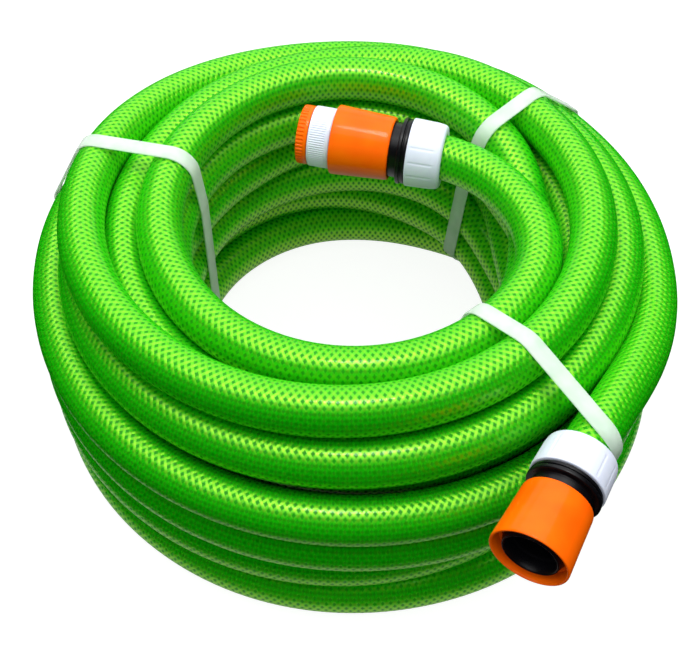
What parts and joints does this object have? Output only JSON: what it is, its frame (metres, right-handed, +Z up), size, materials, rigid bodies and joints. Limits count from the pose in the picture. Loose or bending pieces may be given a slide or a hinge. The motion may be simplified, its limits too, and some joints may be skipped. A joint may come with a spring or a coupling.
{
  "type": "coiled garden hose",
  "caption": "Coil of braided PVC garden hose tied with flat straps, with a quick connector on each end and a tap adaptor in the inner one.",
  "frame": {"origin": "middle of the plan box, on the floor that the ties' undersides rest on", "axes": "+Z up along the coil's axis; +X to the right and -Y to the front as in the picture"},
  "size_m": [0.2448, 0.2666, 0.1015],
  "materials": {
    "green_pvc": "clear glossy green PVC over a light braid",
    "white_plastic": "satin moulded, bluish white",
    "black_plastic": "satin moulded, black",
    "orange_plastic": "semi-gloss moulded, orange",
    "tie_plastic": "milky white flat strap, slightly translucent"
  },
  "bodies": {
    "hose": {"hose_coil": "green_pvc", "hose_inner_tail": "green_pvc", "hose_outer_tail": "green_pvc", "tie_left": "tie_plastic", "tie_back_right": "tie_plastic", "tie_front_right": "tie_plastic", "inner_nut": "white_plastic", "inner_connector_body": "black_plastic", "outer_nut": "white_plastic", "outer_connector_body": "black_plastic"},
    "outer_sleeve": {"outer_sleeve": "orange_plastic"},
    "inner_sleeve": {"inner_sleeve": "orange_plastic"},
    "tap_adaptor": {"tap_adaptor_body": "white_plastic", "tap_adaptor_reducer": "orange_plastic"}
  },
  "joints": [
    {"name": "outer_sleeve_slide", "type": "slide", "parent": "hose", "child": "outer_sleeve", "axis": [0.4879, 0.8729, 0], "range_m": [0, 0.003], "stiffness_N_per_m": 800, "springref_m": -0.005},
    {"name": "inner_sleeve_slide", "type": "slide", "parent": "hose", "child": "inner_sleeve", "axis": [0.972, -0.2351, 0], "range_m": [0, 0.003], "stiffness_N_per_m": 800, "springref_m": -0.005},
    {"name": "tap_adaptor_swivel", "type": "hinge", "parent": "hose", "child": "tap_adaptor", "pos_m": [-0.00557, 0.04994, 0.08745], "axis": [-0.972, 0.2351, 0], "continuous": true}
  ]
}
